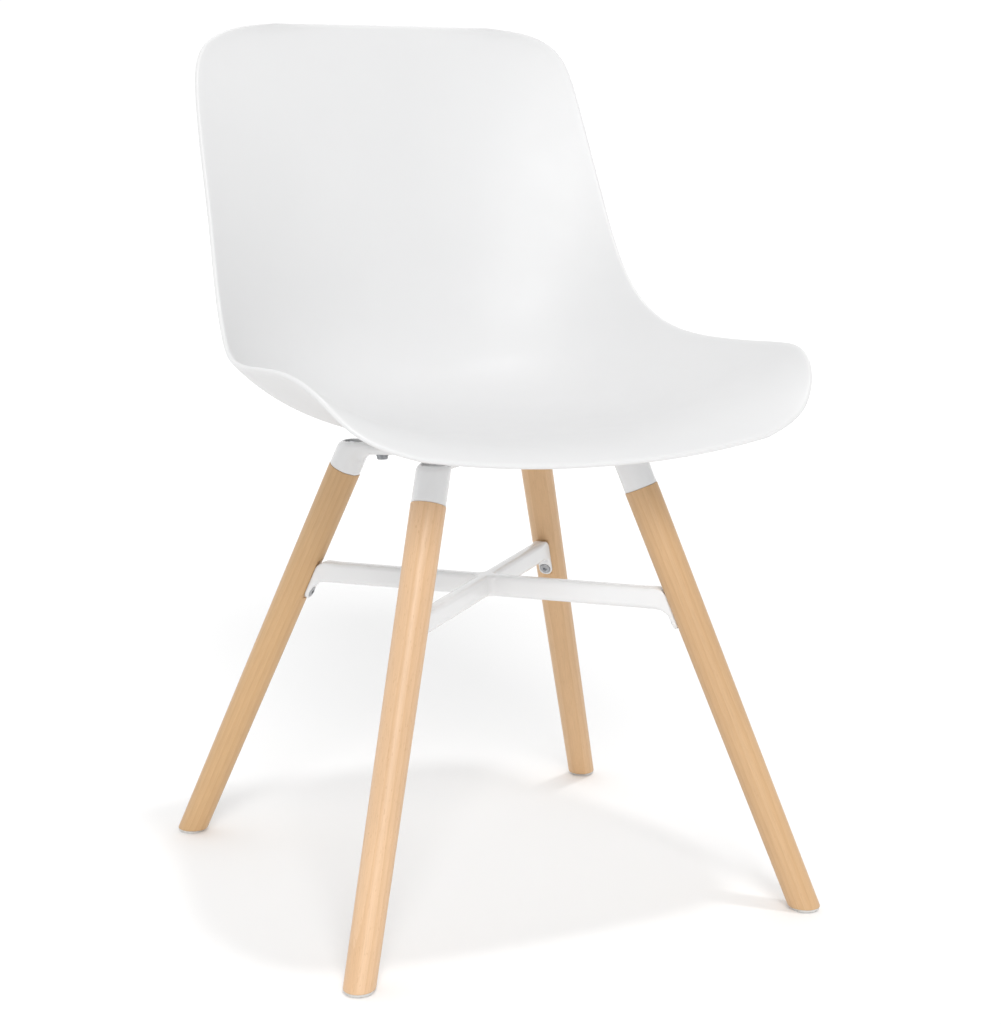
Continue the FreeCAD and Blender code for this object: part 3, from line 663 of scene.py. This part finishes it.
def weights(count, places):
    """How much each pole of a clamped cubic pulls at each place."""
    ends = knots(count)
    places = np.clip(np.asarray(places, float), 0, 1 - 1e-12)[:, None]
    pull = ((ends[:-1] <= places) & (places < ends[1:])).astype(float)
    for degree in (1, 2, 3):
        rise = ends[degree:-1] - ends[: -degree - 1]
        fall = ends[degree + 1 :] - ends[1:-degree]
        safe_rise = np.where(rise > 0, rise, 1)
        safe_fall = np.where(fall > 0, fall, 1)
        up = np.where(rise > 0, (places - ends[: -degree - 1]) / safe_rise, 0)
        down = np.where(fall > 0, (ends[degree + 1 :] - places) / safe_fall, 0)
        pull = up * pull[:, :-1] + down * pull[:, 1:]
    return pull


def surface(poles, down, across):
    """The cubic surface's points at every pair of the places down and across."""
    pulls = weights(len(poles), down), weights(POLES_ACROSS, across)
    return np.einsum("ai,bj,ijk->abk", *pulls, poles)


def facing(poles, down, across):
    """The surface's direction towards the sitter at one place."""
    step = 1e-4
    places = np.clip([down - step, down, down + step], 0, 1)
    sides = np.clip([across - step, across, across + step], 0, 1)
    patch = surface(poles, places, sides)
    normal = np.cross(patch[2, 1] - patch[0, 1], patch[1, 2] - patch[1, 0])
    return normal / np.linalg.norm(normal)


def shell_poles():
    """The outer and the inner face's poles."""
    outer = []
    for rim_x, rim_y, rim_z, mid_y, mid_z, flatness in SHELL_SECTIONS:
        side = 2 * stations(POLES_ACROSS) - 1
        rise = np.abs(side) ** flatness
        row = [rim_x * side, mid_y + (rim_y - mid_y) * rise, mid_z + (rim_z - mid_z) * rise]
        outer.append(np.stack(row, 1))
    outer = np.array(outer) + LEG_MIDDLE
    inner = outer.copy()
    down = stations(len(outer))
    across = stations(POLES_ACROSS)
    for i in range(len(outer)):
        for j in range(POLES_ACROSS):
            if i < UPRIGHT_SECTION:
                reach = outer[i, j, 0] / outer[UPRIGHT_SECTION, -1, 0]
                normal = facing(outer, down[UPRIGHT_SECTION], 0.5 + 0.5 * reach)
            else:
                normal = facing(outer, down[i], across[j])
            inner[i, j] += SHELL_THICKNESS * normal
    return outer, inner


def spaced(count, first):
    """Places from 0 to 1 that crowd towards both ends, the first step that size."""
    crowd = first * np.array([0, 0.12, 0.35, 0.7, 1.15, 1.7, 2.4, 3.4, 5])
    middle = np.linspace(crowd[-1], 1 - crowd[-1], count)[1:-1]
    return np.concatenate([crowd, middle, 1 - crowd[::-1]])


def rim_distance(points, rim):
    """Distance of each point from a closed line of points."""
    found = np.full(len(points), 1e9)
    ends = np.roll(rim, -1, 0)
    for start in range(0, len(points), 2000):
        chunk = points[start : start + 2000]
        gaps = ((chunk[:, None, :] - rim[None]) ** 2).sum(2)
        nearest = gaps.argmin(1)
        best = np.full(len(chunk), 1e9)
        for offset in (-1, 0):
            at = (nearest + offset) % len(rim)
            way = ends[at] - rim[at]
            share = ((chunk - rim[at]) * way).sum(1) / np.maximum((way**2).sum(1), 1e-9)
            foot = rim[at] + np.clip(share, 0, 1)[:, None] * way
            best = np.minimum(best, np.linalg.norm(chunk - foot, axis=1))
        found[start : start + 2000] = best
    return found


def seat_shell(finish):
    """The moulded shell with a fully rounded rim and four filleted screw bosses under the seat."""
    outer_poles, inner_poles = shell_poles()
    down = spaced(190, 0.0011)
    across = spaced(130, 0.0022)
    outer = surface(outer_poles, down, across)
    inner = surface(inner_poles, down, across)
    middle = (outer + inner) / 2
    reach = (inner - outer) / 2
    rows, columns = middle.shape[:2]
    fine_down = np.linspace(0, 1, 1400)
    fine_across = np.linspace(0, 1, 700)
    rim_poles = (outer_poles + inner_poles) / 2
    top = surface(rim_poles, [0.0], fine_across)[0][:-1]
    right = surface(rim_poles, fine_down, [1.0])[:, 0][:-1]
    front = surface(rim_poles, [1.0], fine_across)[0][::-1][:-1]
    left = surface(rim_poles, fine_down, [0.0])[:, 0][::-1][:-1]
    rim = np.concatenate([top, right, front, left])
    depth = rim_distance(middle.reshape(-1, 3), rim).reshape(rows, columns)
    border = np.zeros((rows, columns), bool)
    border[[0, -1], :] = True
    border[:, [0, -1]] = True
    depth[border] = 0
    radius = SHELL_THICKNESS / 2
    inset = radius - np.minimum(depth, radius)
    fullness = np.sqrt(np.maximum(radius**2 - inset**2, 0)) / radius
    under = middle - reach * fullness[..., None]
    upper = middle + reach * fullness[..., None]
    points = under.reshape(-1, 3).tolist()
    number = np.arange(rows * columns).reshape(rows, columns)
    above = number.copy()
    loose = ~border
    above[loose] = rows * columns + np.arange(loose.sum())
    points += upper[loose].tolist()
    faces = []
    for i in range(rows - 1):
        for j in range(columns - 1):
            # The outer face's quads are every second one, from the first.
            faces.append((number[i, j], number[i + 1, j], number[i + 1, j + 1], number[i, j + 1]))
            faces.append((above[i, j], above[i, j + 1], above[i + 1, j + 1], above[i + 1, j]))
    skin_tree = BVHTree.FromPolygons(points, faces[::2])
    # How near each point lies to the rim: this lightens the colour there as a painted highlight and
    # makes the rim glossier.
    edge = np.clip(1 - depth / 7.0, 0, 1) ** 1.5
    rim_highlight_mask = edge.reshape(-1).tolist() + edge[loose].tolist()
    for end, side_x, side_y in CORNERS.values():
        first = len(points)
        new_points, new_faces = boss(end, side_x, side_y, skin_tree)
        points += new_points
        rim_highlight_mask += [0.0] * len(new_points)
        faces += [tuple(first + corner for corner in face) for face in new_faces]
    made = piece("shell", points, faces, finish, sharp_angle=50)
    point_value(made, "rim", rim_highlight_mask)
    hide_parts("seat_shell")


def on_frame(side_x, side_y, lift):
    """A point of the tilted cross frame, from its middle and lift mm above its plane."""
    back = side_y * math.cos(TUBE_TILT) + lift * math.sin(TUBE_TILT)
    rise = lift * math.cos(TUBE_TILT) - side_y * math.sin(TUBE_TILT)
    return LEG_MIDDLE + np.array([side_x, back, TUBE_MIDDLE + rise])


def boss(end, side_x, side_y, skin_tree):
    """A round boss that stands on the cross frame and flares into the shell with a fillet."""
    columns = 48
    angles = np.arange(columns) * 2 * math.pi / columns
    centre = BOLT_REACH[end] * math.sqrt(0.5) * np.array([side_x, side_y])
    # Each ring's radius, its height on the frame, and its gap below the shell if it follows that.
    rings = [
        (BOSS_BORE, BOSS_BORE_DEPTH, None),
        (BOSS_BORE, 0.0, None),
        (BOSS_RADIUS - BOSS_EDGE, 0.0, None),
        (BOSS_RADIUS - 0.2, 0.2, None),
        (BOSS_RADIUS, BOSS_EDGE, None),
    ]
    for share in (0.0, 0.2, 0.4, 0.6, 0.8, 1.0):
        spread = BOSS_FILLET * (1 - math.cos(share * math.pi / 2))
        gap = BOSS_FILLET * (1 - math.sin(share * math.pi / 2)) - 0.3 * (share == 1.0)
        rings.append((BOSS_RADIUS + spread, 0.0, gap))
    points = []
    for radius, lift, gap in rings:
        for angle in angles:
            x = centre[0] + radius * math.cos(angle)
            y = centre[1] + radius * math.sin(angle)
            spot = on_frame(x, y, TUBE_HALF_HEIGHT + lift)
            if gap is not None:
                hit = skin_tree.ray_cast(Vector(spot), Vector((0, 0, 1)))
                spot[2] = max(hit[0].z - gap, spot[2] + BOSS_EDGE)
            points.append(spot.tolist())
    faces = ring_faces(len(rings), columns)
    return points, faces


# ---------------------------------------------------------------- legs and feet


def leg_matrix(end, side_x, side_y):
    """A leg's own axes: Z up the leg from the floor, X outwards."""
    numbers = LEG_SETS[end]
    lean = math.radians(numbers["lean"])
    azimuth = math.atan2(side_y, side_x)
    turn = Matrix.Rotation(azimuth, 4, "Z") @ Matrix.Rotation(-lean, 4, "Y")
    outward = Vector((math.cos(azimuth), math.sin(azimuth), 0))
    place = Vector(LEG_MIDDLE) + outward * numbers["spread"]
    return Matrix.Translation(place * MM) @ turn


def leg(name, end, side_x, side_y, finish):
    """A turned leg with a level foot, a softened lower edge and a tenon on top."""
    numbers = LEG_SETS[end]
    lean = math.radians(numbers["lean"])
    length = numbers["length"]
    taper = (TOP_RADIUS - FOOT_RADIUS) / length
    columns = 96
    angles = np.arange(columns) * 2 * math.pi / columns
    front = np.array([end == "front"])
    seat = tab_plane(front)[0]
    seat_low = tab_low_end(front)[0] - 1
    seat_high = (BAR_MIDDLE + BAR_HALF_HEIGHT + seat * math.sin(lean)) / math.cos(lean) + 1
    # How far up the axis the level cut meets the leg at each angle.
    cut = (GLIDE_THICKNESS - FOOT_RADIUS * np.cos(angles) * math.sin(lean)) / math.cos(lean)
    centre_cut = GLIDE_THICKNESS / math.cos(lean)
    edge = 1.2
    rings = []

    def ring(radius, up):
        rings.append(np.stack([radius * np.cos(angles), radius * np.sin(angles), up], 1))

    for share in (0.0, 0.3, 0.6, 0.85):
        radius = (FOOT_RADIUS - edge) * share
        ring(radius, centre_cut + (cut - centre_cut) * radius / FOOT_RADIUS)
    for share in np.linspace(0, 1, 5):
        inset = edge * (1 - math.sin(share * math.pi / 2))
        lift = edge * (1 - math.cos(share * math.pi / 2))
        radius = FOOT_RADIUS - inset
        ring(radius, centre_cut + (cut - centre_cut) * radius / FOOT_RADIUS + lift)
    start = 40.0
    for share in np.linspace(0.1, 1, 6):
        up = (cut + edge) * (1 - share) + start * share
        ring(FOOT_RADIUS + taper * up, up)
    stops = [seat_low - 0.05, seat_low + 0.05, seat_high - 0.05, seat_high + 0.05]
    ups = np.sort(np.concatenate([np.linspace(start + 12, length - 1, 34), stops]))
    for up in ups:
        ring(FOOT_RADIUS + taper * up, 0 * angles + up)
        if seat_low < up < seat_high:
            rings[-1][:, 0] = np.maximum(rings[-1][:, 0], -seat)
    for inset, drop in ((0.0, 0.5), (0.15, 0.15), (0.5, 0.0)):
        ring(TOP_RADIUS - inset, 0 * angles + length - drop)
    for radius, up in (
        (TENON_RADIUS, 0.0),
        (TENON_RADIUS, TENON_LENGTH - 1),
        (TENON_RADIUS - 1, TENON_LENGTH),
        (TENON_RADIUS * 0.5, TENON_LENGTH),
        (0.0, TENON_LENGTH),
    ):
        ring(radius, 0 * angles + length + up)
    points = np.concatenate(rings)
    faces = ring_faces(len(rings), columns)
    made = piece(name + "_wood", points, faces, finish, leg_matrix(end, side_x, side_y), 40)
    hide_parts(name)


def glide(name, end, side_x, side_y, finish):
    """A glide disc with a rounded lower edge and a sunk hole for its nail."""
    profile = [
        (NAIL_RADIUS, GLIDE_THICKNESS),
        (NAIL_RADIUS, 1.0),
        (NAIL_SINK_RADIUS, 0.0),
        (GLIDE_RADIUS * 0.6, 0.0),
    ]
    edge = 1.0
    for share in np.linspace(0, 1, 5):
        inset = edge * (1 - math.sin(share * math.pi / 2))
        lift = edge * (1 - math.cos(share * math.pi / 2))
        profile.append((GLIDE_RADIUS - inset, lift))
    profile += [(GLIDE_RADIUS, GLIDE_THICKNESS - 0.2), (GLIDE_RADIUS - 0.2, GLIDE_THICKNESS)]
    profile.append((NAIL_RADIUS, GLIDE_THICKNESS))
    points, faces = lathe(profile)
    reach = LEG_SETS[end]["spread"] * math.sqrt(0.5)
    place = Vector(LEG_MIDDLE) + Vector((side_x * reach, side_y * reach, 0))
    made = piece(name + "_disc", points, faces, finish, Matrix.Translation(place * MM), 40)
    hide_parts(name)


# ---------------------------------------------------------------- the chair


white = powder_coat()
zinc = plated("zinc_plate", (0.50, 0.51, 0.53), (0.33, 0.34, 0.36))
steel = plated("dark_steel", (0.36, 0.37, 0.39), (0.20, 0.21, 0.22))
brass = plated("machined_brass", (0.78, 0.62, 0.33), (0.60, 0.46, 0.22))
nylon = pale_nylon()

seat_shell(moulded_white())

points, faces = skin(frame_distance, (-184, -184, 384), (184, 184, 436), 1.0)
under_frame = piece("seat_frame_weldment", from_diagonals(points), faces, white)
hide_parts("frame_tube_through", "frame_tube_front", "frame_tube_back")
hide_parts(*("leg_socket_" + name for name in CORNERS))

points, faces = skin(stretcher_distance, (-208, -208, 256), (208, 208, 304), 1.0)
cross = piece("stretcher_weldment", from_diagonals(points), faces, white)
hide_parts("stretcher_bar_through", "stretcher_bar_front", "stretcher_bar_back")
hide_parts(*("stretcher_tab_" + name for name in CORNERS))

for index, (name, (end, side_x, side_y)) in enumerate(CORNERS.items()):
    shift = (0.031 + 0.017 * index, 0.012 * index - 0.02, 0.37 * index)
    wood = beech("beech_" + name, shift, LEG_WOOD_AND_SHADE_TINTS[name])
    leg("leg_" + name, end, side_x, side_y, wood)
    glide("glide_" + name, end, side_x, side_y, nylon)

CARRIED_OVER = {
    "shell_inserts": brass,
    "leg_inserts": brass,
    "stretcher_inserts": brass,
    "socket_plates": white,
    "leg_bolts": zinc,
    "leg_bolt_washers": zinc,
    "shell_bolts": steel,
    "shell_bolt_washers": steel,
    "stretcher_screws": zinc,
    "glide_nails": zinc,
}
for name, finish in CARRIED_OVER.items():
    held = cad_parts[name]
    held.data.materials.clear()
    held.data.materials.append(finish)


# ---------------------------------------------------------------- the studio


def sun(name, energy, angle, place, target):
    """A sun at a place, turned to a target."""
    lamp = bpy.data.lights.new(name, "SUN")
    lamp.energy = energy
    lamp.angle = math.radians(angle)
    made = bpy.data.objects.new(name, lamp)
    made.location = place
    way = Vector(target) - Vector(place)
    made.rotation_euler = way.to_track_quat("-Z", "Y").to_euler()
    bpy.context.scene.collection.objects.link(made)


def soft_room():
    """An even white room that is a little brighter behind the chair than in front of it."""
    world = bpy.data.worlds.new("studio")
    world.use_nodes = True
    nodes = world.node_tree.nodes
    links = world.node_tree.links
    way = nodes.new("ShaderNodeTexCoord")
    parts = nodes.new("ShaderNodeSeparateXYZ")
    level = nodes.new("ShaderNodeMapRange")
    for socket, number in zip(level.inputs[1:5], (0.0, 0.6, ROOM_LEVEL, BACKDROP_LEVEL)):
        socket.default_value = number
    links.new(way.outputs["Generated"], parts.inputs[0])
    links.new(parts.outputs["Y"], level.inputs["Value"])
    links.new(level.outputs["Result"], nodes["Background"].inputs["Strength"])
    nodes["Background"].inputs["Color"].default_value = (1, 1, 1, 1)
    return world


def studio():
    """The floor, just under the glides, with the room's own light and the two suns."""
    signs = [(-1, -1), (1, -1), (1, 1), (-1, 1)]
    corners = [(x * FLOOR_REACH, y * FLOOR_REACH, -FLOOR_DROP) for x, y in signs]
    mesh = bpy.data.meshes.new("studio_floor")
    mesh.from_pydata(corners, [], [(0, 1, 2, 3)])
    mesh.materials.append(studio_floor())
    floor = bpy.data.objects.new("studio_floor", mesh)
    bpy.context.scene.collection.objects.link(floor)
    bpy.context.scene.world = soft_room()
    bpy.context.scene.view_settings.view_transform = "Standard"
    for name, numbers in SUNS.items():
        sun(name, *numbers)


def camera():
    """The camera that took the photograph."""
    lens = bpy.data.cameras.new("camera")
    lens.lens = LENS
    lens.sensor_width = SENSOR_WIDTH
    lens.shift_x, lens.shift_y = SHIFT
    made = bpy.data.objects.new("camera", lens)
    azimuth = math.radians(CAMERA_AZIMUTH)
    elevation = math.radians(CAMERA_ELEVATION)
    level = math.cos(elevation)
    way = Vector((-math.sin(azimuth) * level, math.cos(azimuth) * level, -math.sin(elevation)))
    roll = Matrix.Rotation(math.radians(CAMERA_ROLL), 4, "Z")
    turn = way.to_track_quat("-Z", "Y").to_matrix().to_4x4() @ roll
    made.matrix_world = Matrix.Translation(CAMERA_PLACE) @ turn
    bpy.context.scene.collection.objects.link(made)
    bpy.context.scene.camera = made


studio()
camera()
